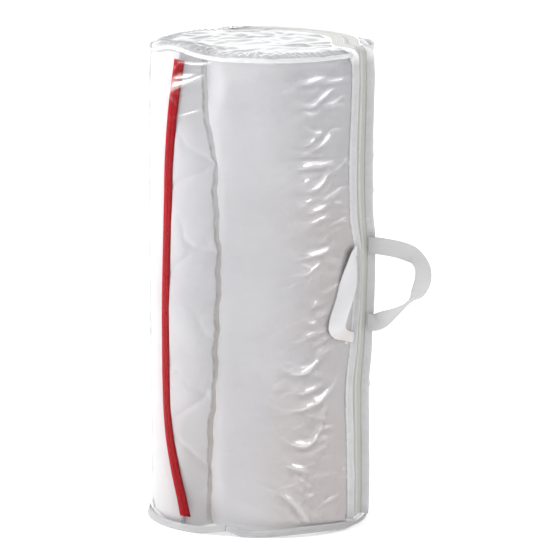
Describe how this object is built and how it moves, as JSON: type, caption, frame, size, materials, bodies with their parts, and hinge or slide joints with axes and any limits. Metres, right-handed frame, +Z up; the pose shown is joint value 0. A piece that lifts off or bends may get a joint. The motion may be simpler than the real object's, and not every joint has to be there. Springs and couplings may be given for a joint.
{
  "type": "rolled travel mattress",
  "caption": "Thin quilted mattress with a zipped cover, rolled up and standing on end in its clear zipped carry bag with two webbing handles.",
  "frame": {"origin": "middle of the bag's foot, on the floor", "axes": "+Z up along the roll; -Y is the front, where the mattress's loose end and red zip show; +X is the right, where the bag's zip and handles are"},
  "size_m": [0.4135, 0.3294, 0.7104],
  "materials": {
    "cover_cloth": "soft white quilted cotton",
    "red_tape": "woven zip tape",
    "red_coil": "moulded coil",
    "zip_metal": "plated",
    "clear_film": "clear glossy soft film",
    "white_tape": "woven zip tape",
    "white_coil": "moulded coil",
    "white_binding": "woven binding tape",
    "white_webbing": "woven webbing"
  },
  "bodies": {
    "root": {"mattress_roll": "cover_cloth", "cover_zip_tape": "red_tape", "cover_zip_coil": "red_coil", "cover_zip_slider": "zip_metal", "cover_zip_puller": "zip_metal", "bag_zip_slider": "zip_metal", "bag_zip_puller": "zip_metal", "bag_wrap": "clear_film", "bag_top": "clear_film", "bag_base": "clear_film", "bag_zip_tape": "white_tape", "bag_zip_coil": "white_coil", "binding_front_seam": "white_binding", "binding_rear_seam": "white_binding", "binding_rim_front": "white_binding", "binding_rim_rear": "white_binding", "binding_base": "white_binding", "handle_front": "white_webbing", "handle_rear": "white_webbing"}
  },
  "joints": []
}
